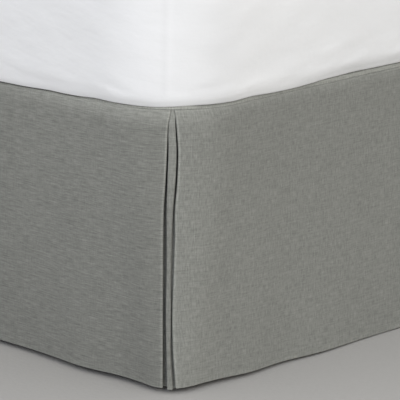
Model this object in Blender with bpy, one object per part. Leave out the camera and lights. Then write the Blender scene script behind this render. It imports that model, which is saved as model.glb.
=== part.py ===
"""A tailored queen-size bed skirt, hung from its bed.

The deck lies between the mattress and the box spring. Its rim is turned down to a seam, and three
almost flat drops hang from that seam: one down each side and one across the foot. At both foot
corners the drops end in soft folded edges with a split between them, and a strip of underlay stands
forward in the split. The bed is plain: mattress, box spring, and a steel frame on nine legs.

Metres, +Z up. X runs across the bed, +Y points to its head, and the floor is at Z = 0 under the
middle of the bed.
"""
import math
from collections import namedtuple

import bmesh
import bpy
from mathutils import Vector

# Skirt
BED_WIDTH = 1.524           # across the outer faces of the side drops, 60 in
BED_LENGTH = 2.032          # from the foot drop's outer face to the deck's head edge, 80 in
DROP = 0.381                # from the deck's top to the hem, 15 in
DECK_TOP = 0.3893           # height of the deck's top over the floor
SEAM_DOWN = 0.0064          # the deck's rim reaches this far below its top, 1/4 in
CLOTH = 0.0015              # thickness of every sheet
SEAM_GAP = 0.0003           # between pieces that are sewn or rest together
DECK_EDGE_RADIUS = 0.004    # outer bend of the deck's rim
DECK_EDGE_STEPS = 3
TOP_CORNER_RADIUS = 0.1207  # outline of the corners at the deck
FOOT_HEM_RADIUS = 0.0415    # outline of the foot corners at the hem, where the cloth hangs freer
HEAD_HEM_RADIUS = 0.1120    # the same at the head corners, where the side drops just end
SIDE_HEM = 0.030            # cloth turned back behind each end of a drop
TURN_RADIUS = 0.0014        # bend of that fold, at mid cloth
TURN_STEPS = 4
SIDE_HEM_STEPS = 4
UNDERLAY_HALF_WIDTH = 0.060
UNDERLAY_SET_BACK = 0.0060  # from the drops' outer face to the underlay's mid cloth
UNDERLAY_FLAT_STEPS = 3     # mesh columns in each flat side of the underlay
UNDERLAY_SWELL_STEPS = 4    # and in each half of its swell
HANG_POWER = 1.15           # how the reach of the hem fades towards the seam
BLEND_LENGTH = 0.30         # length of cloth over which a drop's end adapts to the rounded corner
FIRST_COLUMN = 0.008        # spacing of a drop's mesh columns at a folded edge,
COLUMN_GROWTH = 0.20        # its growth with the distance from that edge,
WIDEST_END_COLUMN = 0.032   # the most it grows to near an end,
MIDDLE_COLUMN = 0.055       # and the spacing between the two ends

# Bed
MATTRESS_HEIGHT = 0.254     # 10 in
BOX_INSET = 0.009           # from the skirt's outer face to the box spring
BOX_BOTTOM = 0.1753
BOX_EDGE_RADIUS = 0.008
BOX_EDGE_STEPS = 2
CORNER_STEPS = 10           # segments in a quarter turn of an outline
RAIL_WIDTH = 0.040
RAIL_HEIGHT = 0.045
RAIL_TOP = 0.1750
LEG_SIDE = 0.045
SIDE_RAIL_X = 0.660
CROSS_RAIL_Y = 0.860
RAIL_END_PAST_LEG = 0.060
STEEL_BEVEL = 0.002

# The mattress from its flat underside to its flat top: how far out past the skirt's outer face, and
# how high as a part of its height.
MattressRow = namedtuple("MattressRow", "out height")
MATTRESS_SIDE = (
    MattressRow(-0.010, 0.000),
    MattressRow(0.002, 0.006),
    MattressRow(0.009, 0.032),
    MattressRow(0.012, 0.080),
    MattressRow(0.016, 0.450),
    MattressRow(0.012, 0.823),
    MattressRow(0.004, 0.905),
    MattressRow(-0.012, 0.953),
    MattressRow(-0.048, 0.977),
    MattressRow(-0.098, 1.000),
)

# Hems, one row for each hollow or swell: how far along the cloth from the foot corner (from the
# left corner for the foot drop), how far the hem stands out from the top line, and its height over
# the floor.
HemRow = namedtuple("HemRow", "along reach clear")
LEFT_HEM = (
    HemRow(0.000, 0.0058, 0.0083),
    HemRow(0.080, -0.0006, 0.0080),
    HemRow(0.155, 0.0045, 0.0078),
    HemRow(0.215, -0.0020, 0.0075),
    HemRow(0.276, -0.0072, 0.0070),
    HemRow(0.386, -0.0078, 0.0067),
    HemRow(0.560, -0.0020, 0.0062),
    HemRow(0.780, -0.0070, 0.0065),
    HemRow(1.010, 0.0010, 0.0070),
    HemRow(1.250, -0.0050, 0.0065),
    HemRow(1.500, 0.0020, 0.0065),
    HemRow(1.760, -0.0020, 0.0070),
    HemRow(2.020, 0.0040, 0.0080),
)
FOOT_HEM = (
    HemRow(0.000, 0.0058, 0.0083),
    HemRow(0.026, 0.0042, 0.0078),
    HemRow(0.080, 0.0066, 0.0068),
    HemRow(0.134, 0.0145, 0.0057),
    HemRow(0.208, 0.0122, 0.0043),
    HemRow(0.284, 0.0184, 0.0029),
    HemRow(0.400, 0.0166, 0.0014),
    HemRow(0.520, 0.0210, 0.0012),
    HemRow(0.640, 0.0175, 0.0014),
    HemRow(0.762, 0.0215, 0.0016),
    HemRow(0.900, 0.0165, 0.0022),
    HemRow(1.040, 0.0185, 0.0034),
    HemRow(1.180, 0.0115, 0.0048),
    HemRow(1.310, 0.0125, 0.0062),
    HemRow(1.420, 0.0060, 0.0072),
    HemRow(1.510, 0.0058, 0.0083),
)
RIGHT_HEM = (
    HemRow(0.000, 0.0058, 0.0083),
    HemRow(0.090, 0.0010, 0.0080),
    HemRow(0.190, 0.0060, 0.0076),
    HemRow(0.320, -0.0010, 0.0072),
    HemRow(0.500, 0.0045, 0.0068),
    HemRow(0.740, -0.0025, 0.0066),
    HemRow(1.000, 0.0040, 0.0068),
    HemRow(1.270, -0.0020, 0.0070),
    HemRow(1.520, 0.0050, 0.0070),
    HemRow(1.780, 0.0000, 0.0074),
    HemRow(2.020, 0.0040, 0.0080),
)

# The split at a foot corner, from the seam down: where the two folded edges lie, measured round the
# corner from its middle (minus towards the side drop), and the underlay between them: its middle,
# the half width of its swell, and how far that stands forward.
SplitRow = namedtuple("SplitRow", "down side_edge foot_edge swell_mid swell_half swell_out")
CORNER_SPLIT = (
    SplitRow(0.0067, -0.0040, 0.0005, -0.0017, 0.0030, 0.0000),
    SplitRow(0.0270, -0.0083, 0.0026, -0.0024, 0.0048, 0.0036),
    SplitRow(0.0610, -0.0100, 0.0050, -0.0026, 0.0070, 0.0045),
    SplitRow(0.1010, -0.0112, 0.0048, -0.0028, 0.0074, 0.0046),
    SplitRow(0.1410, -0.0132, 0.0038, -0.0044, 0.0076, 0.0046),
    SplitRow(0.1800, -0.0138, 0.0021, -0.0054, 0.0068, 0.0042),
    SplitRow(0.2300, -0.0136, 0.0010, -0.0056, 0.0062, 0.0040),
    SplitRow(0.2830, -0.0132, 0.0002, -0.0056, 0.0060, 0.0042),
    SplitRow(0.3300, -0.0128, 0.0012, -0.0047, 0.0066, 0.0044),
    SplitRow(0.3810, -0.0122, 0.0044, -0.0036, 0.0074, 0.0048),
)
HEAD_EDGE = 0.001           # a side drop stops this far short of the head corner's middle
LEVELS = tuple(row.down for row in CORNER_SPLIT)

Panel = namedtuple("Panel", "name corner along outward length hem ends hem_radii")
LEFT, RIGHT = -BED_WIDTH / 2, BED_WIDTH / 2
# The foot hem stands out further than the mattress, and the middle of the whole is at Y = 0.
MIDDLE_SHIFT = (max(row.reach for row in FOOT_HEM) - max(row.out for row in MATTRESS_SIDE)) / 2
FOOT, HEAD = MIDDLE_SHIFT - BED_LENGTH / 2, MIDDLE_SHIFT + BED_LENGTH / 2


def clear_scene():
    for old in list(bpy.data.objects):
        bpy.data.objects.remove(old, do_unlink=True)


def make_material(name, color, roughness, metallic=0.0):
    material = bpy.data.materials.new(name)
    material.use_nodes = True
    shader = material.node_tree.nodes["Principled BSDF"]
    shader.inputs["Base Color"].default_value = (*color, 1.0)
    shader.inputs["Roughness"].default_value = roughness
    shader.inputs["Metallic"].default_value = metallic
    material.diffuse_color = (*color, 1.0)
    return material


def linen_material(name):
    return make_material(name, (0.212, 0.214, 0.196), 0.95)


def white_cover_material():
    return make_material("white_cover", (0.80, 0.80, 0.80), 0.9)


def box_cover_material():
    return make_material("box_cover", (0.60, 0.59, 0.56), 0.9)


def steel_material(name):
    return make_material(name, (0.03, 0.03, 0.032), 0.45, 0.4)


def add_object(name, mesh_maker, material, smooth_angle=math.radians(40)):
    """One closed body from a bmesh, with its faces pointing out."""
    bmesh.ops.recalc_face_normals(mesh_maker, faces=mesh_maker.faces)
    mesh = bpy.data.meshes.new(name)
    mesh_maker.to_mesh(mesh)
    mesh_maker.free()
    mesh.shade_smooth()
    mesh.set_sharp_from_angle(angle=smooth_angle)
    mesh.materials.append(material)
    obj = bpy.data.objects.new(name, mesh)
    bpy.context.scene.collection.objects.link(obj)
    return obj


def smooth_value(rows, key, field, at):
    """The named column of a table at one place, on a smooth curve through its rows."""
    last = len(rows) - 1
    at = min(max(at, getattr(rows[0], key)), getattr(rows[last], key))
    i = 0
    while i < last - 1 and getattr(rows[i + 1], key) < at:
        i += 1
    places = [getattr(rows[k], key) for k in (max(i - 1, 0), i, i + 1, min(i + 2, last))]
    values = [getattr(rows[k], field) for k in (max(i - 1, 0), i, i + 1, min(i + 2, last))]
    step = places[2] - places[1]
    t = (at - places[1]) / step
    slope_in = (values[2] - values[0]) / (places[2] - places[0]) * step
    slope_out = (values[3] - values[1]) / (places[3] - places[1]) * step
    return ((2 * t ** 3 - 3 * t ** 2 + 1) * values[1] + (t ** 3 - 2 * t ** 2 + t) * slope_in
            + (3 * t ** 2 - 2 * t ** 3) * values[2] + (t ** 3 - t ** 2) * slope_out)


def corner_radius(panel, last, down):
    hem_radius = panel.hem_radii[1 if last else 0]
    return TOP_CORNER_RADIUS + (hem_radius - TOP_CORNER_RADIUS) * down / DROP


def corner_loss(panel, last, down):
    """How much shorter the rounded way is than the sharp one, up to a corner's middle."""
    return corner_radius(panel, last, down) * (1 - math.pi / 4)


def face_length(panel, down):
    """Length round the outer face from one corner's middle to the other's, at one depth."""
    return panel.length - corner_loss(panel, False, down) - corner_loss(panel, True, down)


def place(panel, round_at, set_back, down):
    """A point of a drop: its way round from the first corner's middle, how far it lies behind the
    outer face, and its depth below the deck's top."""
    length = face_length(panel, down)
    from_last = round_at > length / 2
    near = length - round_at if from_last else round_at
    radius = corner_radius(panel, from_last, down)
    turn = max(0.0, math.pi / 4 - near / radius)
    if turn > 0:
        along = radius * (1 - math.sin(turn))
        inward = radius * (1 - math.cos(turn))
    else:
        along = near + corner_loss(panel, from_last, down)
        inward = 0.0
    hem_at = face_length(panel, DROP) - near if from_last else near
    reach = smooth_value(panel.hem, "along", "reach", hem_at) * (down / DROP) ** HANG_POWER
    hem_height = smooth_value(panel.hem, "along", "clear", hem_at)
    start = Vector(panel.corner)
    forward = Vector(panel.along)
    if from_last:
        start = start + forward * panel.length
        forward = -forward
    outward = Vector(panel.outward)
    normal = outward * math.cos(turn) - forward * math.sin(turn)
    flat = start + forward * along - outward * inward + normal * (reach - set_back)
    height = DECK_TOP - down * (DECK_TOP - hem_height) / DROP
    return Vector((flat.x, flat.y, height))


def column_steps(length):
    """Distances from a drop's folded edge, close together where the corner bends."""
    steps = []
    at = FIRST_COLUMN
    while at < length - WIDEST_END_COLUMN / 2:
        steps.append(at)
        at += min(FIRST_COLUMN + COLUMN_GROWTH * at, WIDEST_END_COLUMN)
    return steps


def end_profile(edge, far_round, far_cloth):
    """The sheet's mid line at one end of a drop as (way round, set back, normal), from the end of
    the turned-back hem round the fold and along the front. The front's first stretch is spread
    evenly from the fold to a far point whose way round is known."""
    front = CLOTH / 2
    back = front + 2 * TURN_RADIUS
    turn_centre = edge + TURN_RADIUS + CLOTH / 2
    points = []
    for i in range(SIDE_HEM_STEPS):
        points.append((turn_centre + SIDE_HEM * (1 - i / SIDE_HEM_STEPS), back, (0.0, 1.0)))
    for i in range(TURN_STEPS + 1):
        angle = math.pi * i / TURN_STEPS
        sine, cosine = math.sin(angle), math.cos(angle)
        points.append((turn_centre - TURN_RADIUS * sine, front + TURN_RADIUS * (1 + cosine), (-sine, cosine)))
    for cloth in column_steps(far_cloth):
        spread = cloth / far_cloth
        points.append((turn_centre + (far_round - turn_centre) * spread, front, (0.0, -1.0)))
    return points


def mirrored(points, length):
    return [(length - at, back, (-normal[0], normal[1])) for at, back, normal in reversed(points)]


def drop_profile(panel, down):
    """The mid line of a whole drop at one depth, from its first turned-back hem to its last."""
    length = face_length(panel, down)
    first_blend = BLEND_LENGTH - corner_loss(panel, False, down)
    last_blend = BLEND_LENGTH - corner_loss(panel, True, down)
    first = end_profile(panel.ends[0](down), first_blend, BLEND_LENGTH)
    last = mirrored(end_profile(panel.ends[1](down), last_blend, BLEND_LENGTH), length)
    count = round((panel.length - 2 * BLEND_LENGTH) / MIDDLE_COLUMN)
    middle = []
    for i in range(count + 1):
        at = first_blend + (length - last_blend - first_blend) * i / count
        middle.append((at, CLOTH / 2, (0.0, -1.0)))
    return first + middle + last


def sheet_from_profiles(placer, profiles, downs):
    """A closed sheet whose two faces lie half a cloth to either side of the given mid lines."""
    maker = bmesh.new()
    faces = []
    for side in (1, -1):
        grid = []
        for profile, down in zip(profiles, downs):
            row = []
            for at, back, normal in profile:
                shift = side * CLOTH / 2
                row.append(maker.verts.new(placer(at + normal[0] * shift, back + normal[1] * shift, down)))
            grid.append(row)
        faces.append(grid)
    outer, inner = faces
    rows, columns = len(outer), len(outer[0])
    for grid in faces:
        for j in range(rows - 1):
            for i in range(columns - 1):
                maker.faces.new((grid[j][i], grid[j][i + 1], grid[j + 1][i + 1], grid[j + 1][i]))
    for j in (0, rows - 1):
        for i in range(columns - 1):
            maker.faces.new((outer[j][i], outer[j][i + 1], inner[j][i + 1], inner[j][i]))
    for i in (0, columns - 1):
        for j in range(rows - 1):
            maker.faces.new((outer[j][i], outer[j + 1][i], inner[j + 1][i], inner[j][i]))
    return maker


def side_end(down):
    return -smooth_value(CORNER_SPLIT, "down", "side_edge", down)


def foot_end(down):
    return smooth_value(CORNER_SPLIT, "down", "foot_edge", down)


def head_end(down):
    return HEAD_EDGE


SIDE_RADII = (FOOT_HEM_RADIUS, HEAD_HEM_RADIUS)
FOOT_RADII = (FOOT_HEM_RADIUS, FOOT_HEM_RADIUS)
DROP_LEFT = Panel("drop_left", (LEFT, FOOT), (0, 1), (-1, 0), BED_LENGTH, LEFT_HEM,
                  (side_end, head_end), SIDE_RADII)
DROP_FOOT = Panel("drop_foot", (LEFT, FOOT), (1, 0), (0, -1), BED_WIDTH, FOOT_HEM,
                  (foot_end, foot_end), FOOT_RADII)
DROP_RIGHT = Panel("drop_right", (RIGHT, FOOT), (0, 1), (1, 0), BED_LENGTH, RIGHT_HEM,
                   (side_end, head_end), SIDE_RADII)


def add_drop(panel):
    def placer(at, back, down):
        return place(panel, at, back, down)

    profiles = [drop_profile(panel, down) for down in LEVELS]
    maker = sheet_from_profiles(placer, profiles, LEVELS)
    return add_object(panel.name, maker, linen_material("linen_" + panel.name))


def underlay_profile(down):
    """The underlay's mid line: flat behind the folded edges, with one swell between them."""
    middle = smooth_value(CORNER_SPLIT, "down", "swell_mid", down)
    half = smooth_value(CORNER_SPLIT, "down", "swell_half", down)
    stands = smooth_value(CORNER_SPLIT, "down", "swell_out", down)
    flat_normal = (0.0, -1.0)
    points = []
    for i in range(UNDERLAY_FLAT_STEPS):
        at = -UNDERLAY_HALF_WIDTH + (middle - half + UNDERLAY_HALF_WIDTH) * i / UNDERLAY_FLAT_STEPS
        points.append((at, UNDERLAY_SET_BACK, flat_normal))
    for i in range(2 * UNDERLAY_SWELL_STEPS + 1):
        part = i / UNDERLAY_SWELL_STEPS - 1
        set_back = UNDERLAY_SET_BACK - stands * (0.5 + 0.5 * math.cos(math.pi * part))
        slope = stands * 0.5 * math.pi / half * math.sin(math.pi * part)
        size = math.hypot(slope, 1.0)
        points.append((middle + half * part, set_back, (slope / size, -1.0 / size)))
    for i in range(UNDERLAY_FLAT_STEPS):
        at = UNDERLAY_HALF_WIDTH - (UNDERLAY_HALF_WIDTH - middle - half) * (1 - (i + 1) / UNDERLAY_FLAT_STEPS)
        points.append((at, UNDERLAY_SET_BACK, flat_normal))
    return points


def add_underlay(name, side_panel, at_last_foot_corner):
    """The strip behind one split. It bends round the corner, so each half follows its own drop."""
    def placer(at, back, down):
        if at < 0:
            return place(side_panel, -at, back, down)
        if at_last_foot_corner:
            at = face_length(DROP_FOOT, down) - at
        return place(DROP_FOOT, at, back, down)

    profiles = [underlay_profile(down) for down in LEVELS]
    maker = sheet_from_profiles(placer, profiles, LEVELS)
    return add_object(name, maker, linen_material("linen_" + name))


def outline(offset):
    """The bed's rounded outline, moved out by offset, anticlockwise from the foot's right corner."""
    points = []
    turn = TOP_CORNER_RADIUS + offset
    right, left = RIGHT - TOP_CORNER_RADIUS, LEFT + TOP_CORNER_RADIUS
    foot, head = FOOT + TOP_CORNER_RADIUS, HEAD - TOP_CORNER_RADIUS
    corners = ((right, foot, -0.5), (right, head, 0.0), (left, head, 0.5), (left, foot, 1.0))
    for centre_x, centre_y, half_turns in corners:
        start = math.pi * half_turns
        for i in range(CORNER_STEPS + 1):
            angle = start + math.pi / 2 * i / CORNER_STEPS
            points.append((centre_x + turn * math.cos(angle), centre_y + turn * math.sin(angle)))
    return points


def stack_of_outlines(rings):
    """A closed body from outlines at (offset, height), with a flat cap at each end."""
    maker = bmesh.new()
    loops = []
    for offset, height in rings:
        loops.append([maker.verts.new((x, y, height)) for x, y in outline(offset)])
    count = len(loops[0])
    for lower, upper in zip(loops, loops[1:]):
        for i in range(count):
            k = (i + 1) % count
            maker.faces.new((lower[i], lower[k], upper[k], upper[i]))
    maker.faces.new(loops[0])
    maker.faces.new(loops[-1])
    return maker


def add_deck():
    """One sheet over the box spring with its rim turned down: an upside-down shallow tray."""
    rim_bottom = DECK_TOP - SEAM_DOWN
    rings = [(-CLOTH, DECK_TOP - CLOTH), (-CLOTH, rim_bottom), (0.0, rim_bottom)]
    for i in range(DECK_EDGE_STEPS + 1):
        angle = math.pi / 2 * i / DECK_EDGE_STEPS
        inset = DECK_EDGE_RADIUS * (1 - math.cos(angle))
        rise = DECK_EDGE_RADIUS * (1 - math.sin(angle))
        rings.append((-inset, DECK_TOP - rise))
    return add_object("deck", stack_of_outlines(rings), linen_material("linen_deck"))


def add_box_spring():
    top = DECK_TOP - CLOTH - SEAM_GAP
    lower = []
    upper = []
    for i in range(BOX_EDGE_STEPS + 1):
        angle = math.pi / 2 * i / BOX_EDGE_STEPS
        offset = -BOX_INSET - BOX_EDGE_RADIUS * (1 - math.sin(angle))
        rise = BOX_EDGE_RADIUS * (1 - math.cos(angle))
        lower.append((offset, BOX_BOTTOM + rise))
        upper.append((offset, top - rise))
    rings = lower + upper[::-1]
    return add_object("box_spring", stack_of_outlines(rings), box_cover_material())


def add_mattress():
    """A soft-edged block with slightly swollen sides and a low crown that ends in a flat top."""
    bottom = DECK_TOP + SEAM_GAP
    rings = [(row.out, bottom + MATTRESS_HEIGHT * row.height) for row in MATTRESS_SIDE]
    return add_object("mattress", stack_of_outlines(rings), white_cover_material())


def add_steel_box(name, low, high):
    """A straight steel piece between two opposite corners, with its edges eased."""
    maker = bmesh.new()
    bmesh.ops.create_cube(maker, size=1.0)
    size = [high[k] - low[k] for k in range(3)]
    middle = [(high[k] + low[k]) / 2 for k in range(3)]
    bmesh.ops.scale(maker, vec=size, verts=maker.verts)
    bmesh.ops.translate(maker, vec=middle, verts=maker.verts)
    bmesh.ops.bevel(maker, geom=maker.edges[:], offset=STEEL_BEVEL, segments=1, affect="EDGES")
    return add_object(name, maker, steel_material("steel_" + name), math.radians(30))


def add_frame():
    """Two side rails, three cross rails fitted between them, and a leg under each crossing."""
    rail_bottom = RAIL_TOP - RAIL_HEIGHT
    half_rail = RAIL_WIDTH / 2
    rail_end = CROSS_RAIL_Y + RAIL_END_PAST_LEG
    for name, x in (("rail_left", -SIDE_RAIL_X), ("rail_right", SIDE_RAIL_X)):
        add_steel_box(name, (x - half_rail, -rail_end, rail_bottom), (x + half_rail, rail_end, RAIL_TOP))
    rows = (("foot", -CROSS_RAIL_Y), ("middle", 0.0), ("head", CROSS_RAIL_Y))
    cross_end = SIDE_RAIL_X - half_rail - SEAM_GAP
    for row_name, y in rows:
        add_steel_box("cross_rail_" + row_name, (-cross_end, y - half_rail, rail_bottom),
                      (cross_end, y + half_rail, RAIL_TOP))
    half_leg = LEG_SIDE / 2
    leg_top = rail_bottom - SEAM_GAP
    for row_name, y in rows:
        for side_name, x in (("left", -SIDE_RAIL_X), ("centre", 0.0), ("right", SIDE_RAIL_X)):
            add_steel_box("leg_%s_%s" % (row_name, side_name), (x - half_leg, y - half_leg, 0.0),
                          (x + half_leg, y + half_leg, leg_top))


def build():
    clear_scene()
    add_deck()
    for panel in (DROP_LEFT, DROP_FOOT, DROP_RIGHT):
        add_drop(panel)
    add_underlay("underlay_left", DROP_LEFT, False)
    add_underlay("underlay_right", DROP_RIGHT, True)
    add_mattress()
    add_box_spring()
    add_frame()


build()
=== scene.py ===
"""Looks of a tailored grey linen bed skirt on its bed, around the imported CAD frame.

The skirt's sheets follow the CAD solids: the same swells, folded edges and underlay, with finer
bends, seam puckers and a rounded doubled hem. The mattress has a soft creased cover. The box spring,
the steel frame and the floor are plain.
"""
import math
from collections import namedtuple

import bmesh
import bpy
import numpy as np
from mathutils import Matrix, Vector


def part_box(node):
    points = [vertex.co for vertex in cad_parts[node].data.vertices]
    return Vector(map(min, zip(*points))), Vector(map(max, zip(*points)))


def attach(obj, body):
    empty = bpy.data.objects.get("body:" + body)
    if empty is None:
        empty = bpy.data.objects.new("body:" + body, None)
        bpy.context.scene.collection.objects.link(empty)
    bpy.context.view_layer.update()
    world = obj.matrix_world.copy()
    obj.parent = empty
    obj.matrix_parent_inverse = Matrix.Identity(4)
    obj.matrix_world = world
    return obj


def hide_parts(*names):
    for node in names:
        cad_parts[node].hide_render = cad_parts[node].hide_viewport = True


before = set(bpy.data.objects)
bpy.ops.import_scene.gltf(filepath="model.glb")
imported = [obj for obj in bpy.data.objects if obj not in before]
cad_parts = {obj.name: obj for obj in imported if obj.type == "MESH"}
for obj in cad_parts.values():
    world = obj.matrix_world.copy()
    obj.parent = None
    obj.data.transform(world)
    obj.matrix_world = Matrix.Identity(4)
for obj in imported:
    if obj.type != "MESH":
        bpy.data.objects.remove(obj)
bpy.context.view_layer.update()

# ---- sizes, in metres
DECK_LOW, DECK_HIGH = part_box("deck")
LEFT, RIGHT = DECK_LOW[0], DECK_HIGH[0]
FOOT, HEAD = DECK_LOW[1], DECK_HIGH[1]
DECK_TOP = DECK_HIGH[2]
BED_WIDTH = RIGHT - LEFT
BED_LENGTH = HEAD - FOOT
DROP = 0.381  # from the deck's top to the hem
SEAM_DOWN = 0.0074  # the deck's rim reaches this far below its top
SEAM_CLEAR = 0.0002  # and the drops begin this far below that
TUCK_SLOPE = 0.27  # lean of the cloth's top, where it comes in over the box spring's edge
TUCK_BEND = 0.011  # it bends from there to here into its hang
TUCK_END = 0.024
CORNER_SWELL = 0.0045  # how much a corner's cloth stands out, just below its top
CORNER_SWELL_START = 0.016
TOP_CORNER_RADIUS = 0.1207
FOOT_HEM_RADIUS = 0.0415
HEAD_HEM_RADIUS = 0.112
HANG_POWER = 1.15  # how the reach of the hem fades towards the seam
BLEND_LENGTH = 0.3  # length of cloth over which a drop's end adapts to the rounded corner
PUCKER_REACH = 0.012

CLOTH = 0.0012  # thickness of the linen
SIDE_HEM = 0.03  # cloth turned back behind each end of a drop
TURN_RADIUS = 0.0014  # bend of that fold, at mid cloth
HEM_TURNED_UP = 0.05  # height of the doubled hem
HEM_EXTRA = 0.0006  # what the turned-up layer adds behind the cloth
HEM_EXTRA_FADES = 0.002
TOP_ROUNDING = 0.4  # a seamed edge is this much rounded for its thickness
HEAD_EDGE = 0.001  # a side drop's folded edge stands off its head corner's middle by this
UNDERLAY_HALF_WIDTH = 0.06
UNDERLAY_SET_BACK = 0.00585  # from the drops' outer face to the underlay's mid cloth
UNDERLAY_LONGER = 0.0016  # it shows this far under the drops
VALLEY_REACH = 0.016  # its valleys run this far behind the drops
VALLEY_EASE = 0.004
SWELL_SIDE = 0.0012  # width of the swell's steep left flank
DECK_EDGE_RADIUS = 0.004  # outer bend of the deck's rim
DECK_FLAT = (-0.12, -0.03)  # rings of the deck inside its rim

# The mattress and the box spring
MATTRESS_EASE = 0.055  # the mattress's corners ease into its sides over this far each way
EASE_WAY = 0.3  # worked out this far from a corner
SEAM_SHIFT = -0.0145  # the mattress cover's seam, beside the corner's middle
SEAM_WIDTH = 0.011  # of the cloth turned under along it
SEAM_EASE = 0.0022
SEAM_GROOVE = 0.0009  # half width of the grooves to both sides of that
WRINKLE_FALL = 0.22  # the cover's fine wrinkles fall this steeply towards the corner
CREASE_SHOULDER = 0.4  # height of the swell around a crease, as a part of the crease's depth,
SHOULDER_WIDER = 2.2  # and how much wider than the crease it is
LAST_RING = 0.985  # of the mattress's top, as a part of the way to its middle line
BOX_INSET = 0.009  # from the skirt's outer face to the box spring's
BOX_FLAT = (-0.06, -0.022)  # rings of its top and bottom
BOX_EDGE = 0.008  # radius of its edges
BOX_PIPING = 0.0035  # radius of the piping
PIPING_OFF = 0.004  # from the edge's bend to the piping, and from there to the side
BOX_SIDE_IN = 0.0005  # the side is this far in behind the piping's middle
BOX_PULL = 0.0012  # and its middle this much more
BOX_SIDE_START = 0.12  # of the box's height

# Steps of the meshes
EDGE_STEPS = 8  # round a cloth's edge
TURN_STEPS = 10  # round a folded edge
DECK_EDGE_STEPS = 8
COLUMN_STEP = 0.006
# Mesh spacing at an edge or a fold, its growth with the distance from there, and the widest:
HEM_SPACING = (0.0012, 0.15, 0.003)  # behind a drop's end
END_SPACING = (0.0012, 0.1, COLUMN_STEP)  # along a drop's front
ROW_SPACING = (0.0012, 0.06, 0.0058)  # down it
CORNER_STEPS = 48  # mesh steps round a corner of the bed's outline
CORNER_FINER = 0.75  # how much closer they are in its middle
OUTLINE_STEP = 0.01  # and between the corners
MATTRESS_RINGS = 64
TOP_RINGS = 16
EASE_STEPS = 1200
BOX_EDGE_STEPS = 5
BOX_PIPING_STEPS = 7
BOX_SIDE_STEPS = 13
SHARP_ANGLE = 50  # degrees

# Painted light and shade: paler and darker places, as parts of the cloth's own brightness.
FOLD_HIGHLIGHT_REACH = 0.0011  # how far a folded edge's painted highlight reaches over the cloth
# how far the paler line along the hem reaches over the cloth
HEM_LINE_REACH = 0.0045
FOLD_HIGHLIGHT = 0.28  # how much paler that painted highlight is
UPPER_FOLD_HIGHLIGHT = 0.16  # and how much more on its upper part
# how much paler that line along the hem is
HEM_PALER = 0.14
RIM_PALER = 0.5  # how much paler the deck's rim is painted under the mattress's edge: painted light against its shade
CORNER_RIM_PALER = 0.35  # and how much more near a corner
TOP_PALER = 0.27  # and the drops' top edge, fading fast: painted light there too
TOP_PALE_REACH = 0.003
UPPER_FULL = 0.4  # an upper part's painted light is full for this part of its reach
CONTACT_REACH = 0.0024  # cloth this close to the mattress's edge gets no painted light
CONTACT_DARKER = 0.5  # but a painted shadow, darker for each part of a sag above the next
CONTACT_SAG = 0.45
CLOTH_APART = 3.7  # from one sheet's place in the weave to the next one's
SEAM_RIDGE = (0.00022, 0.02)  # how far out the cover's seam stands and how much paler it is painted (a painted highlight), and how deep its two grooves are and how much darker they are painted (painted shade)
NEAR_GROOVE = (0.00035, 0.07)  # and how deep and how much darker its two grooves are
FAR_GROOVE = (0.00016, 0.03)

# Where things fade: from and to, in metres.
SWELL_FADES = (0.02, 0.13)  # a corner's swell, away from it
RELIEF_STARTS = (0.006, 0.06)  # the cloth's own bumps, away from a corner
HANGS_FREE = (0.01, 0.2)  # and down a drop
NO_CONTACT = (0.015, 0.045)  # round from the corner, where the mattress's edge lifts off the skirt
UPPER_ENDS = (0.016, 0.034)  # a drop's upper part with painted light
UPPER_HIGHLIGHT_RISES = (0.012, 0.045)  # the upper part of a folded edge, where its painted highlight is stronger
UPPER_HIGHLIGHT_FADES = (0.1, 0.16)
FOLD_TONE_ENDS = (0.03, 0.09)  # a drop's painted light and shade near its folds
RIM_SHOWS = (0.0005, 0.0025)  # the deck rim's painted light, down from its top
RIM_CORNER = (0.06, 0.16)  # and round from the corner
RIM_PUCKERS_START = 0.0035  # down from its top
COVER_STARTS = (-0.002, 0.02)  # the mattress's creases, up from the deck
COVER_ENDS = (0.215, 0.245)
SEAM_STARTS = (0.004, 0.02)  # and its upright seams
SEAM_ENDS = (0.2, 0.235)
TOP_DENTS_START = (0.0, 0.2)  # its top's dents, as parts of the way in
BOX_RIPPLES_START = (0.03, 0.05)  # the box spring's, from its top and its bottom

# Linear colours, the camera and the light
LINEN = (0.203, 0.206, 0.188)
COTTON = (0.82, 0.823, 0.829)
BOX_COVER = (0.6, 0.59, 0.56)
STEEL = (0.03, 0.03, 0.032)
FLOOR = (0.46, 0.45, 0.435)
FLOOR_DOWN = 0.0004  # the floor lies this far under the legs
FLOOR_REACH = 30.0
CAMERA_PLACE = (-2.854, -2.556, 1.2346)  # from the sharp corner in view, over the floor
CAMERA_HEADING = 48.64  # degrees
CAMERA_TILT = 14.1
CAMERA_ROLL = 0.9
CAMERA_LENS = 270.0  # millimetres, on a sensor of 36
LAMP_SIZE = 2.4
LAMPS_AIM = 0.35  # height over the floor, at the sharp corner


def table(columns, *rows):
    """A table with named columns. What stands in a column named _mm is kept in metres."""
    scales = [0.001 if name.endswith("_mm") else 1 for name in columns.split()]
    row_type = namedtuple("Row", columns.replace("_mm", ""))
    return tuple(row_type(*(value * scale for value, scale in zip(row, scales))) for row in rows)


# The soft light all round: two strengths that change evenly from the horizon to straight above, of
# which the lesser counts.
WORLD_LIGHT = table("horizon above", (0.33, 3.45), (2.36, 0.24))
LAMPS = table(
    "name place power colour",
    ("side_lamp", (-3.2, -1.4, 1.6), 27.6, (0.9, 0.99, 1.2)),
    ("foot_lamp", (-1.3, -3.2, 1.6), 31.2, (1.06, 1.01, 0.89)),
)

LATTICE = 64  # cells each way before the bumps repeat
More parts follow.
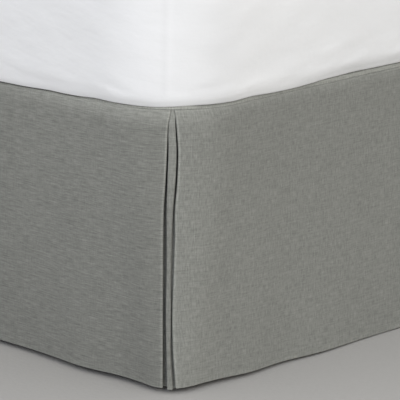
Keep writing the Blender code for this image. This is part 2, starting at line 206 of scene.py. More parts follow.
# Smooth random bumps: how wide and high one is, how they lean, where their lattice starts, their seed
# and their depth.
Bumps = namedtuple("Bumps", "wide high lean start_x start_y seed depth")
CLOTH_SWELLS = Bumps(0.085, 0.45, 0, 7, 0.3, 11, 0.0007)
CLOTH_DENTS = Bumps(0.05, 0.11, 0, 3, 0, 31, 0.00022)
SEAM_PUCKERS = Bumps(0.011, 0.03, 0, 0, 0.5, 51, 0.00022)
RIM_PUCKERS = Bumps(0.013, 1, 0, 0, 0.5, 70, 0.0002)
COVER_SWELLS = Bumps(0.16, 0.075, 6, 0, 4, 90, 0.0011)
COVER_DENTS = Bumps(0.045, 0.03, 20, 0, 2, 91, 0.0006)
COVER_WRINKLES = Bumps(0.04, 0.011, 0, 0, 3, 93, 0.0008)
TOP_DENTS = Bumps(0.16, 0.19, 0, 9, 9, 92, 0.0009)
BOX_RIPPLES = Bumps(0.09, 0.07, 0, 0, 0, 94, 0.0007)

# Noise in the materials: cells a metre along each axis, detail and roughness, and what it adds to the
# colour's brightness and to the bump's height.
NOISE_COLUMNS = "cells detail roughness colour height"
COTTON_NOISES = table(
    NOISE_COLUMNS,
    ((900, 900, 900), 2, 0.6, 0.012, 0.05),
    ((22, 22, 30), 3, 0.5, 0.006, 1),
    ((3, 3, 4), 2, 0.5, 0.012, 0),
)
WRINKLE_NOISES = table(NOISE_COLUMNS, ((22, 22, 115), 3, 0.55, 0.006, 0.26))
TICKING_NOISES = table(
    NOISE_COLUMNS,
    ((800, 60, 40), 1.5, 0.5, 0.05, 0.4),
    ((7, 9, 5), 3, 0.5, 0.04, 0),
)
PAINT_NOISES = table(
    NOISE_COLUMNS,
    ((420, 420, 420), 2, 0.5, 0.06, 1),
    ((9, 9, 14), 4, 0.6, 0.2, 0),
)
FLOOR_NOISES = table(
    NOISE_COLUMNS,
    ((2, 2, 2), 4, 0.5, 0.03, 0),
    ((140, 140, 140), 3, 0.5, 0.03, 1),
)
# The linen's uneven threads along a panel (weft) and down it (warp), and its rare pale slubs, with how
# much each shows for the weft's share and for the warp's. The grain and the clouds show whole.
LINEN_COLUMNS = "cells detail weft warp"
LINEN_THREADS = table(
    LINEN_COLUMNS,
    ((62, 700, 60), 1.5, 0.43, 0),
    ((20, 330, 30), 1, 0.2, 0),
    ((560, 110, 60), 1.5, 0, 0.43),
    ((300, 24, 30), 1, 0, 0.13),
)
LINEN_SLUBS = table(
    LINEN_COLUMNS,
    ((55, 620, 90), 0, 0.2, 0),
    ((640, 40, 95), 0, 0, 0.2),
)
SLUB_STARTS = (0.62, 0.8)
LINEN_NOISES = table(
    NOISE_COLUMNS,
    ((560, 700, 60), 1, 0.5, 0.14, 0),
    ((11, 7, 5), 3, 0.5, 0.05, 0),
)
THREAD_PITCH = 0.0011
WEAVE_HEIGHT = 0.35  # in the linen's bump, and the heights of its threads and slubs
THREAD_HEIGHT = 2.0
SLUB_HEIGHT = 4.0
RIB_PITCH = 0.006  # of the box spring's ticking
RIB_SHADE = 0.03
RIB_HEIGHT = 0.6
CLEAN_ROUGHNESS = 0.44  # of the paint, and what its dust adds to it
DUST_ROUGHNESS = 0.1
LINEN_BUMP, COTTON_BUMP, TICKING_BUMP, PAINT_BUMP, FLOOR_BUMP = 0.0001, 0.0007, 0.0003, 0.00008, 0.0003

# One row for each hollow or swell of a hem: how far along the cloth, how far out, how high.
LEFT_HEM = table(
    "along_mm reach_mm clear_mm",
    (0, 5.8, 7.2), (80, -0.6, 8), (155, 4.5, 7.8), (215, -2, 7.5), (276, -7.2, 7), (386, -7.8, 6.7),
    (560, -2, 6.2), (780, -7, 6.5), (1010, 1, 7), (1250, -5, 6.5), (1500, 2, 6.5), (1760, -2, 7),
    (2020, 4, 8),
)
FOOT_HEM = table(
    "along_mm reach_mm clear_mm",
    (0, 5.8, 7.2), (26, 4.2, 7.8), (80, 6.6, 6.8), (134, 14.5, 5.7), (208, 12.2, 4.3), (284, 18.4, 2.9),
    (400, 16.6, 1.4), (520, 21, 1.2), (640, 17.5, 1.4), (762, 21.5, 1.6), (900, 16.5, 2.2),
    (1040, 18.5, 3.4), (1180, 11.5, 4.8), (1310, 12.5, 6.2), (1420, 6, 7.2), (1510, 5.8, 8.3),
)
RIGHT_HEM = table(
    "along_mm reach_mm clear_mm",
    (0, 5.8, 8.3), (90, 1, 8), (190, 6, 7.6), (320, -1, 7.2), (500, 4.5, 6.8), (740, -2.5, 6.6),
    (1000, 4, 6.8), (1270, -2, 7), (1520, 5, 7), (1780, 0, 7.4), (2020, 4, 8),
)

# The split at a foot corner, from the seam down: the two folded edges, measured round the corner from
# its middle (minus towards the side drop). Between them is the underlay's swell, with its flat top from
# left to right, its right flank down to foot, how far it stands forward, how deep the valley to each
# side of it is and how much darker it is painted (painted shade; below nought, painted light), and how
# much paler the swell is painted (painted light).
CORNER_SPLIT = table(
    "down_mm side_edge_mm foot_edge_mm left_mm right_mm foot_mm stands_mm deep_left_mm deep_right_mm "
    "dark_left dark_right pale",
    (6.7, -4.1, -0.2, -3.2, -1.1, -0.7, 3.4, 0, 0, -0.2, -0.2, 0),
    (14, -5.5, 1.1, -4.6, 0.5, 0.8, 3.8, 0.3, 0.5, -0.25, -0.1, 0.05),
    (27, -8, 2.6, -6.8, 0.6, 1.6, 4.4, 2.4, 2.4, 0.3, 0.4, 0.14),
    (61, -9.2, 5, -6.7, 2.4, 3.4, 4.6, 7, 7, 0.9, 0.85, 0.15),
    (101, -10.7, 4.3, -7.7, 1.4, 2.6, 4.6, 9.8, 9, 0.6, 0.6, 0.11),
    (141, -12.8, 1.6, -8.4, -2.1, 0.8, 4.6, 9, 6, 0.1, 0.1, 0.05),
    (180, -13.1, 1.7, -7.9, -3.8, 0.1, 4.4, 8, 2, 0, 0.05, -0.02),
    (230, -12.9, 0.4, -7.8, -4.7, -0.9, 4.2, 7.5, 1.5, 0, 0.05, 0),
    (283, -12.6, -0.7, -8.1, -3.6, -0.9, 4.2, 8, 3, 0, 0.1, 0),
    (330, -12.2, 0.6, -6.9, -4.2, -0.2, 4.4, 8.5, 3, 0, 0.05, 0),
    (381, -11.7, 4.2, -5.5, -0.8, 2.8, 4.8, 9, 2.5, 0.05, 0.05, 0),
)

# The mattress's section from its underside to its flat top: how far out past the skirt's face and how
# high over the deck each ring lies, where its lower edge rests on the deck and where it hangs over it.
MATTRESS_SIDE = table(
    "out_mm height_mm sag_out_mm sag_height_mm",
    (-40, 0.4, -40, 0.4), (-12, 0.3, -11, 0.3), (-7.8, 0.4, -6.2, 0.6), (-6.4, 0.9, -3.8, -1.6),
    (-5.2, 1.6, -2.8, -5), (-4.2, 2.5, -2, -7.8), (-3, 3.8, -1.3, -9), (-1, 6.8, -0.4, -8.6),
    (0.8, 10.6, 0.8, -6.4), (3, 15.2, 2.3, -2.4), (4.3, 21.5, 3.6, 5), (5.2, 32, 4.7, 17),
    (6.2, 50, 5.9, 40), (7.8, 79, 7.7, 76), (10, 115, 10, 114), (11.8, 150, 11.8, 150), (12, 183, 12, 183),
    (10.2, 209, 10.2, 209), (3.8, 229, 3.8, 229), (-12, 242, -12, 242), (-48, 250, -48, 250),
    (-98, 254, -98, 254),
)
# How much the lower edge hangs over, from 0 to 1, by the way round from the corner in view: plus along
# the foot, minus up the left side.
MATTRESS_SAG = table(
    "around_mm share",
    (-3600, 0.3), (-2200, 0.6), (-1400, 0.4), (-800, 0.85), (-360, 0.88), (-259, 0.87), (-236, 0.82),
    (-208, 0.74), (-180, 0.76), (-151, 0.71), (-123, 0.57), (-95, 0.6), (-69, 0.6), (-47, 0.63),
    (-22, 0.635), (0, 0.55), (28, 0.45), (48, 0.47), (69, 0.46), (96, 0.47), (128, 0.39), (160, 0.49),
    (191, 0.545), (222, 0.53), (254, 0.445), (285, 0.32), (316, 0.27), (352, 0.2), (385, 0.26), (900, 0.5),
    (1400, 0.3), (2400, 0.6), (3600, 0.3),
)
# How far down the cloth that lower edge comes, by its share.
EDGE_COVERS = table(
    "share down_mm",
    (0, 0), (0.3, 0.7), (0.5, 3), (0.6, 4.4), (0.7, 5.7), (0.8, 7), (0.9, 8.3),
)
# Soft creases in the mattress's cover near the corner in view: the middle of each (way round and
# height over the deck), its half length, its rise along that length, its half width and its depth.
MATTRESS_CREASES = table(
    "around_mm height_mm half_length_mm rise half_width_mm depth_mm",
    (-90, 19, 30, 0.24, 4.5, 1.755), (-72, 41, 24, 0.32, 5, 0.945), (-150, 60, 32, 0.35, 6, 1.08),
    (-203, 100, 28, 0.22, 5.5, 1.215), (-235, 47, 30, 0.4, 5.5, 1.35), (-228, 80, 24, 0.3, 5, 0.945),
    (-12, 140, 16, 0.8, 4.5, 1.08), (20, 128, 22, 0.18, 4.5, -1.08), (58, 22, 45, 0.02, 5, 0.945),
    (83, 71, 24, 0.75, 5, 1.215), (215, 47, 48, 0.03, 7, 0.945), (285, 58, 42, 0.1, 7, 1.215),
    (340, 105, 40, 0.25, 7, 1.08),
)

# Painted light and painted shade on the mattress's cover near the same corner, faintly paler or darker: the
# middle of each (way round and height), its half length, half height and how much paler it is.
MATTRESS_SHADES = table(
    "around_mm height_mm half_length_mm half_height_mm paler",
    (-42, 110, 40, 120, 0.035), (62, 60, 30, 90, -0.05), (52, 4, 40, 14, -0.06), (-55, 5, 45, 11, -0.07),
    (170, 150, 120, 50, 0.05), (125, 10, 30, 15, 0.045), (360, 12, 60, 18, -0.045),
)

# How much darker the skirt is painted where the mattress's edge lies on it, a painted contact shadow, by the
# way round.
CONTACTS = table(
    "around_mm darker",
    (-259, 0.66), (-180, 0.5), (-123, 0.76), (-69, 0.74), (-35, 0.4), (-18, 0), (10, 0), (28, 0.3),
    (69, 0.2), (128, 0.12), (170, 0.05), (300, 0.08), (385, 0.05),
)

# Painted light and shade on a hanging sheet, as how much paler it is: all of it, its top against its middle
# (and as much darker at its hem), near its folds, and along its top edge; and how far from the corners that
# reaches.
Tones = namedtuple("Tones", "all above fold upper pale_reach")
SIDE_TONES = Tones(0, 0.06, -0.06, 0.235, 0.42)
FOOT_TONES = Tones(0.045, -0.02, 0.07, 0.09, 0.12)
UNDERLAY_TONES = Tones(0, 0, 0, 0.235, 1)

# Mesh columns of an underlay, round from its middle.
UNDERLAY_COLUMNS = table("start end count", (-0.06, -0.0375, 6), (-0.034, 0.026, 121), (0.0295, 0.06, 7))

Panel = namedtuple("Panel", "name corner along outward length hem ends hem_radii tag tones")


# ---- shapes in numbers
def smooth(rows, field, at):
    """A smooth curve through one column of a table, by its first column."""
    places = np.array([row[0] for row in rows])
    values = np.array([getattr(row, field) for row in rows])
    before = np.maximum(np.arange(len(rows)) - 1, 0)
    after = np.minimum(np.arange(len(rows)) + 1, len(rows) - 1)
    slopes = (values[after] - values[before]) / (places[after] - places[before])
    at = np.clip(at, places[0], places[-1])
    i = np.clip(np.searchsorted(places, at, side="right") - 1, 0, len(rows) - 2)
    step = places[i + 1] - places[i]
    t = (at - places[i]) / step
    bend = t * (1 - t) * ((1 - t) * slopes[i] - t * slopes[i + 1])
    return values[i] + (values[i + 1] - values[i]) * t * t * (3 - 2 * t) + bend * step


def soft_noise(x, y, seed):
    """Smooth random heights from -1 to 1 over a lattice of unit cells, the same each run."""
    lattice = np.random.default_rng(seed).uniform(-1, 1, (LATTICE, LATTICE))
    column, row = np.floor(x).astype(int), np.floor(y).astype(int)
    tx, ty = x - column, y - row
    tx, ty = tx * tx * (3 - 2 * tx), ty * ty * (3 - 2 * ty)
    left, right, low, high = (cell % LATTICE for cell in (column, column + 1, row, row + 1))
    a = lattice[left, low] * (1 - tx) + lattice[right, low] * tx
    b = lattice[left, high] * (1 - tx) + lattice[right, high] * tx
    return a * (1 - ty) + b * ty


def ramp(value, start, end):
    """0 below start, 1 above end, and eased between them."""
    t = np.clip((value - start) / (end - start), 0, 1)
    return t * t * (3 - 2 * t)


def between(value, rise, fall):
    """0 below the first range and above the second, 1 between the two."""
    return ramp(value, *rise) * (1 - ramp(value, *fall))


def bumps(kind, x, y, tag=1):
    """The height of one of the kinds of bump, for the sheet with that tag."""
    lattice_x = x / kind.wide + kind.lean * y + kind.start_x * tag
    return kind.depth * soft_noise(lattice_x, y / kind.high + kind.start_y, kind.seed + tag)


def corner_radius(panel, last, down):
    hem_radius = panel.hem_radii[1 if last else 0]
    return TOP_CORNER_RADIUS + (hem_radius - TOP_CORNER_RADIUS) * down / DROP


def corner_loss(panel, last, down):
    return corner_radius(panel, last, down) * (1 - math.pi / 4)


def face_length(panel, down):
    return panel.length - corner_loss(panel, False, down) - corner_loss(panel, True, down)


def tuck(down):
    """How far in from its face the cloth lies near its top."""
    span = TUCK_END - TUCK_BEND
    t = np.clip((down - TUCK_BEND) / span, 0, 1)
    return TUCK_SLOPE * (np.maximum(TUCK_BEND - down, 0) + span * (0.5 - t + t ** 3 - t ** 4 / 2))


def at_seam(down, reach):
    """1 at the seam, fading down from it."""
    return np.exp(-np.maximum(down - SEAM_DOWN, 0) / reach)


def corner_swell(near, down):
    """How far out the cloth swells at a corner, most a little below the seam."""
    risen = 1 - at_seam(down, CORNER_SWELL_START)
    return CORNER_SWELL * risen * (1 - np.clip(down / DROP, 0, 1)) * (1 - ramp(near, *SWELL_FADES))


def cloth_relief(along, near, down, tag):
    """The cloth's own unevenness, fading at a corner: soft upright swells, dents and seam puckers."""
    hung = bumps(CLOTH_SWELLS, along, down, tag) + bumps(CLOTH_DENTS, along, down, tag)
    puckered = at_seam(down, PUCKER_REACH) * bumps(SEAM_PUCKERS, along, down, tag)
    return (hung * ramp(down, *HANGS_FREE) + puckered) * ramp(near, *RELIEF_STARTS)


def place(panel, round_at, set_back, down):
    """Points of a drop, from the way round, the distance behind the outer face and the depth."""
    length = face_length(panel, down)
    from_last = round_at > length / 2
    near = np.where(from_last, length - round_at, round_at)
    radius = np.where(from_last, corner_radius(panel, True, down), corner_radius(panel, False, down))
    loss = radius * (1 - math.pi / 4)
    turn = np.maximum(0.0, math.pi / 4 - near / radius)
    along = np.where(turn > 0, radius * (1 - np.sin(turn)), near + loss)
    inward = radius * (1 - np.cos(turn))
    hem_at = np.where(from_last, face_length(panel, DROP) - near, near)
    reach = smooth(panel.hem, "reach", hem_at) * (np.maximum(down, 0) / DROP) ** HANG_POWER
    reach = reach + cloth_relief(hem_at, near, down, panel.tag) + corner_swell(near, down) - tuck(down)
    clear = smooth(panel.hem, "clear", hem_at)
    sign = np.where(from_last, -1.0, 1.0)
    forward = np.array(panel.along, float)
    outward = np.array(panel.outward, float)
    start = np.array(panel.corner) + np.where(from_last, panel.length, 0.0)[..., None] * forward
    forward = sign[..., None] * forward
    normal = outward * np.cos(turn)[..., None] - forward * np.sin(turn)[..., None]
    flat = start + forward * along[..., None] - outward * inward[..., None]
    flat = flat + normal * (reach - set_back)[..., None]
    height = DECK_TOP - down * (DECK_TOP - clear) / DROP
    return np.concatenate([flat, height[..., None]], axis=-1)


def spaced(length, first, growth, widest):
    """Distances from 0 to length whose steps start small and grow to the widest."""
    steps = [0.0]
    while steps[-1] < length:
        steps.append(steps[-1] + min(first + growth * steps[-1], widest))
    steps = np.array(steps)
    return steps * length / steps[-1]


def arc(out, up, wide, high, start, end, steps):
    """Points of an arc about a middle, from one angle to another."""
    return [(out + wide * math.cos(angle), up + high * math.sin(angle))
            for angle in np.linspace(start, end, steps + 1)]


# ---- meshes
def add_object(name, data):
    made = bpy.data.objects.new(name, data)
    bpy.context.scene.collection.objects.link(made)
    return made


def add_mesh(name, points, faces, material, cloth=None, tone=None):
    """A closed piece on the bed's body, faces outwards. cloth holds each point's place on its cloth,
    and tone how much paler it is painted (painted highlights and painted light) or darker deep in a fold
    (painted shade)."""
    mesh = bpy.data.meshes.new(name)
    mesh.from_pydata(np.asarray(points, float).tolist(), [], faces)
    maker = bmesh.new()
    maker.from_mesh(mesh)
    bmesh.ops.recalc_face_normals(maker, faces=maker.faces)
    maker.to_mesh(mesh)
    maker.free()
    mesh.shade_smooth()
    mesh.set_sharp_from_angle(angle=math.radians(SHARP_ANGLE))
    for field, kind, values in (("cloth", "FLOAT_VECTOR", cloth), ("tone", "FLOAT", tone)):
        if values is not None:
            key = "value" if kind == "FLOAT" else "vector"
            data = mesh.attributes.new(field, kind, "POINT").data
            data.foreach_set(key, np.asarray(values, np.float32).ravel())
    mesh.materials.append(material)
    piece = add_object(name, mesh)
    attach(piece, "root")
    return piece


def ring_faces(rings, count, closed=True):
    """Faces between rings of points, each of count points, and over the first and last ring."""
    faces = []
    for j in range(rings - 1):
        for i in range(count):
            k = (i + 1) % count
            faces.append((j * count + i, j * count + k, (j + 1) * count + k, (j + 1) * count + i))
    if closed:
        faces += [tuple(range(count)), tuple(range((rings - 1) * count, rings * count))]
    return faces


def strip_faces(columns, around):
    """Faces of a sheet made of columns of points that each go once round its thickness, closed at
    both ends. The first point of a column is its top and the one half way is its lowest."""
    faces = ring_faces(columns, around, closed=False)
    half = around // 2
    for first in (0, (columns - 1) * around):
        faces.append((first, first + 1, first + around - 1))
        for k in range(1, half - 1):
            faces.append((first + k, first + k + 1, first + around - k - 1, first + around - k))
        faces.append((first + half - 1, first + half, first + half + 1))
    return faces


def hanging_loop():
    """Once round a hanging sheet's thickness, as (shift towards its outer face, depth): from its top
    edge down the outer face, round the hem, and up behind."""
    top = SEAM_DOWN + SEAM_CLEAR
    half = CLOTH / 2
    bend = (CLOTH + HEM_EXTRA) / 2
    angles = np.linspace(0, math.pi, EDGE_STEPS + 1)[1:-1]
    middle = len(angles) // 2
    rounded = TOP_ROUNDING * half
    depths = top + rounded + spaced(DROP - bend - top - rounded, *ROW_SPACING)
    behind = depths[::-1]
    doubled = HEM_EXTRA * ramp(behind - (DROP - HEM_TURNED_UP), 0, HEM_EXTRA_FADES)
    top_shift, top_depth = -half * np.cos(angles), top + rounded - rounded * np.sin(angles)
    hem_shift, hem_depth = half - bend + bend * np.cos(angles), DROP - bend + bend * np.sin(angles)
    shift = [top_shift[middle:], np.full(len(depths), half), hem_shift, -half - doubled, top_shift[:middle]]
    depth = [top_depth[middle:], depths, hem_depth, behind, top_depth[:middle]]
    return np.concatenate(shift), np.concatenate(depth)


def near_mattress(tone, around, down):
    """The tone of a top with painted light, turned to painted shadow where it lies against the mattress's
    sagging lower edge.
    """
    sag = smooth(MATTRESS_SAG, "share", around)
    at_corner = 1 - ramp(np.abs(around), *NO_CONTACT)
    lit = np.maximum(ramp(down - smooth(EDGE_COVERS, "down", sag), 0, CONTACT_REACH), at_corner)
    darker = CONTACT_DARKER * np.maximum(sag - CONTACT_SAG, 0) + smooth(CONTACTS, "darker", around)
    return tone * lit - darker * (1 - lit)


def top_tone(near, down, upper, reach):
    """How much paler a drop's top is painted (painted light), by the distance from its nearer corner."""
    upper = upper * (1 - ramp(down, *UPPER_ENDS)) * (1 - ramp(near, UPPER_FULL * reach, reach))
    return TOP_PALER * at_seam(down, TOP_PALE_REACH) + upper


def hanging_sheet(node, placer, profile, material, tag, way_round, tones, folds=()):
    """A hanging sheet, for a CAD node. profile(down) gives, for a column of depths, the mid line's
    way round, set back, the normal's two parts, the place along the cloth and its painted light and
    shade, each as depths x columns. way_round(at) is the way round the bed from the corner in view, and
    folds are the places along the cloth where it is turned back on itself."""
    shift, depth = hanging_loop()
    shift, depth = shift[:, None], depth[:, None]
    at, back, normal_at, normal_back, along, shade = profile(depth)
    down = np.broadcast_to(depth, at.shape)
    points = placer(at + normal_at * shift, back + normal_back * shift, down)
    # A paler line along the hem
    tone = HEM_PALER * np.exp(-((DROP - down) / HEM_LINE_REACH) ** 2)
    # Painted highlight along each folded edge, stronger on its upper part
    highlight = FOLD_HIGHLIGHT + UPPER_FOLD_HIGHLIGHT * between(down, UPPER_HIGHLIGHT_RISES, UPPER_HIGHLIGHT_FADES)
    for fold in folds:
        tone = np.maximum(tone, highlight * np.exp(-((along - fold) / FOLD_HIGHLIGHT_REACH) ** 2))
    near = np.abs(along)
    if folds:
        near = np.minimum(near, np.abs(folds[-1] - along))
    # Painted light on the drop's top
    paler = top_tone(near, down, tones.upper, tones.pale_reach)
    # The profile's painted light and shade, and the top's painted light turned to painted contact shadow
    # under the mattress's edge
    tone = tone + shade + near_mattress(paler, way_round(at), down)
    # Painted light and shade over the whole sheet, by height, and near its folds
    tone = tone + tones.all + tones.above * (1 - 2 * down / DROP)
    tone = tone + tones.fold * (1 - ramp(near, *FOLD_TONE_ENDS))
    cloth = np.stack([along + CLOTH_APART * tag, -down, np.zeros(at.shape)], axis=-1)
    points = points.transpose(1, 0, 2).reshape(-1, 3)
    cloth = cloth.transpose(1, 0, 2).reshape(-1, 3)
    faces = strip_faces(at.shape[1], len(depth))
    piece = add_mesh("skirt_" + node, points, faces, material, cloth, tone.transpose())
    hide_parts(node)


# ---- the skirt
def side_end(down):
    return -smooth(CORNER_SPLIT, "side_edge", down)


def foot_end(down):
    return smooth(CORNER_SPLIT, "foot_edge", down)


def head_end(down):
    return np.full(np.shape(down), HEAD_EDGE)


SIDE_RADII = (FOOT_HEM_RADIUS, HEAD_HEM_RADIUS)
FOOT_RADII = (FOOT_HEM_RADIUS, FOOT_HEM_RADIUS)
DROP_LEFT = Panel("drop_left", (LEFT, FOOT), (0, 1), (-1, 0), BED_LENGTH, LEFT_HEM,
                  (side_end, head_end), SIDE_RADII, 1, SIDE_TONES)
DROP_FOOT = Panel("drop_foot", (LEFT, FOOT), (1, 0), (0, -1), BED_WIDTH, FOOT_HEM,
                  (foot_end, foot_end), FOOT_RADII, 2, FOOT_TONES)
DROP_RIGHT = Panel("drop_right", (RIGHT, FOOT), (0, 1), (1, 0), BED_LENGTH, RIGHT_HEM,
                   (side_end, head_end), SIDE_RADII, 3, SIDE_TONES)
FACE_AT_TOP = float(face_length(DROP_FOOT, 0.0))


def end_profile(edge, far_round):
    """One end of a drop, from the end of its turned-back hem round the fold and along the front to
    far_round: way round, set back, normal (two parts), distance along the cloth from the fold and
    shade."""
    front = CLOTH / 2
    back = front + 2 * TURN_RADIUS
    turn_centre = edge + TURN_RADIUS + CLOTH / 2
    parts = []
    for step in spaced(SIDE_HEM, *HEM_SPACING)[:0:-1]:
        parts.append((turn_centre + step, back, 0, 1, -(step + math.pi * TURN_RADIUS), 0))
    for angle in np.linspace(0, math.pi, TURN_STEPS + 1):
        sine, cosine = math.sin(angle), math.cos(angle)
        at, set_back = turn_centre - TURN_RADIUS * sine, front + TURN_RADIUS * (1 + cosine)
        parts.append((at, set_back, -sine, cosine, (angle - math.pi) * TURN_RADIUS, 0))
    for cloth in spaced(BLEND_LENGTH, *END_SPACING)[1:-1]:
        at = turn_centre + (far_round - turn_centre) * cloth / BLEND_LENGTH
        parts.append((at, front, 0, -1, cloth, 0))
    parts = [np.broadcast_arrays(*part) for part in parts]
    return [np.concatenate(column, axis=1) for column in zip(*parts)]


def drop_profile(panel):
    """The mid line of a whole drop, from its first turned-back hem to its last."""
    def profile(down):
        length = face_length(panel, down)
        first_blend = BLEND_LENGTH - corner_loss(panel, False, down)
        last_blend = BLEND_LENGTH - corner_loss(panel, True, down)
        first = end_profile(panel.ends[0](down), first_blend)
        last = end_profile(panel.ends[1](down), last_blend)
        last = [column[:, ::-1] for column in last]
        last[0] = length - last[0]
        last[2] = -last[2]
        last[4] = panel.length - last[4]
        steps = round((panel.length - 2 * BLEND_LENGTH) / COLUMN_STEP)
        share = np.linspace(0, 1, steps + 1)[None, :]
        at = first_blend + (length - last_blend - first_blend) * share
        along = BLEND_LENGTH + (panel.length - 2 * BLEND_LENGTH) * share
        middle = np.broadcast_arrays(at, CLOTH / 2, 0, -1, along, 0)
        return [np.concatenate(columns, axis=1) for columns in zip(first, middle, last)]

    return profile


def add_drop(panel, material):
    def placer(at, back, down):
        return place(panel, at, back, down)

    def way_round(at):
        if panel is DROP_LEFT:
            return -at
        return at + FACE_AT_TOP if panel is DROP_RIGHT else at

    hanging_sheet(panel.name, placer, drop_profile(panel), material, panel.tag, way_round, panel.tones,
                  folds=(0.0, panel.length))


def underlay_profile(down):
    """The underlay's mid line: close behind the folded edges, with a flat-topped swell between them and
    a valley to each side of it."""
    row = {field: smooth(CORNER_SPLIT, field, down) for field in CORNER_SPLIT[0]._fields[1:]}
    at = np.concatenate([np.linspace(*columns) for columns in UNDERLAY_COLUMNS])[None, :] + 0 * down
    swell = between(at, (row["left"] - SWELL_SIDE, row["left"]), (row["right"], row["foot"]))
    side_edge, foot_edge = row["side_edge"], row["foot_edge"]
    valley = between(at, (side_edge - VALLEY_REACH, side_edge - VALLEY_EASE),
                     (foot_edge + VALLEY_EASE, foot_edge + VALLEY_REACH))
    deep = np.where(at < row["left"], row["deep_left"], row["deep_right"])
    back = UNDERLAY_SET_BACK + (1 - swell) * valley * deep - row["stands"] * swell
    slope = np.gradient(back, axis=1) / np.gradient(at, axis=1)
    size = np.hypot(slope, 1.0)
    # Painted shade in the valleys beside the swell, and painted light on the swell
    darker = np.where(at < row["left"], row["dark_left"], row["dark_right"])
    shade = row["pale"] * swell - darker * valley * (1 - swell)
    return at, back, slope / size, -1.0 / size, at + UNDERLAY_HALF_WIDTH, shade


def add_underlay(name, side_panel, at_last_foot_corner, material, tag):
    """The strip behind one split. It bends round the corner, so each half follows its own drop."""
    def placer(at, back, down):
        down = down * (1 + UNDERLAY_LONGER / DROP)
        foot_at = np.maximum(at, 0)
        if at_last_foot_corner:
            foot_at = face_length(DROP_FOOT, down) - foot_at
        on_side = place(side_panel, np.maximum(-at, 0), back, down)
        on_foot = place(DROP_FOOT, foot_at, back, down)
        return np.where((at < 0)[..., None], on_side, on_foot)

    def way_round(at):
        return FACE_AT_TOP - at if at_last_foot_corner else at

    hanging_sheet(name, placer, underlay_profile, material, tag, way_round, UNDERLAY_TONES)


# ---- what follows the bed's outline
def bed_outline():
    """Points round the bed at the deck, from the corner in view along the foot: the place of each, its
    outward direction, and the way round, which is minus on the last half."""
    radius = TOP_CORNER_RADIUS
    low, high = (LEFT + radius, FOOT + radius), (RIGHT - radius, HEAD - radius)
    corners = ((low[0], low[1], -math.pi / 2), (high[0], low[1], 0.0), (high[0], high[1], math.pi / 2),
               (low[0], high[1], math.pi))
    centres, angles = [], []
    for i, (x, y, end_angle) in enumerate(corners):
        next_x, next_y, _ = corners[(i + 1) % 4]
        for angle in np.linspace(end_angle - math.pi / 2, end_angle, CORNER_STEPS, endpoint=False):
            centres.append((x, y))
            angles.append(angle + CORNER_FINER * math.sin(4 * (end_angle - angle)) / 4)
        count = round(math.hypot(next_x - x, next_y - y) / OUTLINE_STEP)
        for share in np.linspace(0, 1, count, endpoint=False):
            centres.append((x + (next_x - x) * share, y + (next_y - y) * share))
            angles.append(end_angle)
    centres, angles = (np.roll(values, -CORNER_STEPS // 2, axis=0) for values in (centres, angles))
    outward = np.stack([np.cos(angles), np.sin(angles)], axis=-1)
    edge = centres + radius * outward
    lengths = np.hypot(*(np.roll(edge, -1, axis=0) - edge).T)
    around = np.concatenate([[0], np.cumsum(lengths[:-1])])
    total = lengths.sum()
    around = np.where(around > total / 2, around - total, around)
    return edge, outward, around


EDGE, OUTWARD, AROUND = bed_outline()


def stack_rings(outs, heights):
    """Points and cloth places of rings moved out from the outline; outs and heights are rings x points."""
    flat = EDGE[None] + OUTWARD[None] * outs[..., None]
    points = np.concatenate([flat, heights[..., None]], axis=-1)
    climb = np.hypot(np.diff(outs, axis=0), np.diff(heights, axis=0))
    climb = np.concatenate([np.zeros((1, outs.shape[1])), np.cumsum(climb, axis=0)])
    cloth = np.stack([np.broadcast_to(AROUND, outs.shape), climb, np.zeros(outs.shape)], axis=-1)
    return points.reshape(-1, 3), cloth.reshape(-1, 3)


def add_deck(material):
    """One sheet over the box spring, its rim turned down to the seam with the drops."""
    half = CLOTH / 2
    bend = DECK_EDGE_RADIUS
    lean = math.atan(TUCK_SLOPE)
    bend_end = bend * (1 - math.sin(lean))
    centre = -float(tuck(bend_end)) - bend * math.cos(lean)
    outer, inner = [[(out, level) for out in DECK_FLAT] for level in (0.0, -CLOTH)]
    for ring, radius in ((outer, bend), (inner, bend - CLOTH)):
        ring.extend(arc(centre, -bend, radius, radius, math.pi / 2, lean, DECK_EDGE_STEPS))
    lip_down = SEAM_DOWN - TOP_ROUNDING * half
    lip_out = -float(tuck(lip_down)) - half * math.cos(lean)
    lip = arc(lip_out, -lip_down, half, -TOP_ROUNDING * half, 0, math.pi, EDGE_STEPS)
    section = np.array(outer + lip + inner[::-1])
    near_seam = ramp(-section[:, 1:], RIM_PUCKERS_START, SEAM_DOWN)
    outs = section[:, :1] + near_seam * bumps(RIM_PUCKERS, AROUND, np.zeros(len(AROUND)))[None]
    heights = DECK_TOP + section[:, 1:] + np.zeros((1, len(AROUND)))
    points, cloth = stack_rings(outs, heights)
    faces = ring_faces(len(section), len(AROUND))
    down = -section[:, 1:]
    # Painted light on the rim, turned to a painted contact shadow under the mattress's edge
    paler = RIM_PALER + CORNER_RIM_PALER * (1 - ramp(np.abs(AROUND), *RIM_CORNER))[None, :]
    tone = near_mattress(paler * ramp(down, *RIM_SHOWS), AROUND[None, :], down)
    piece = add_mesh("skirt_deck", points, faces, material, cloth, tone)
    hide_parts("deck")


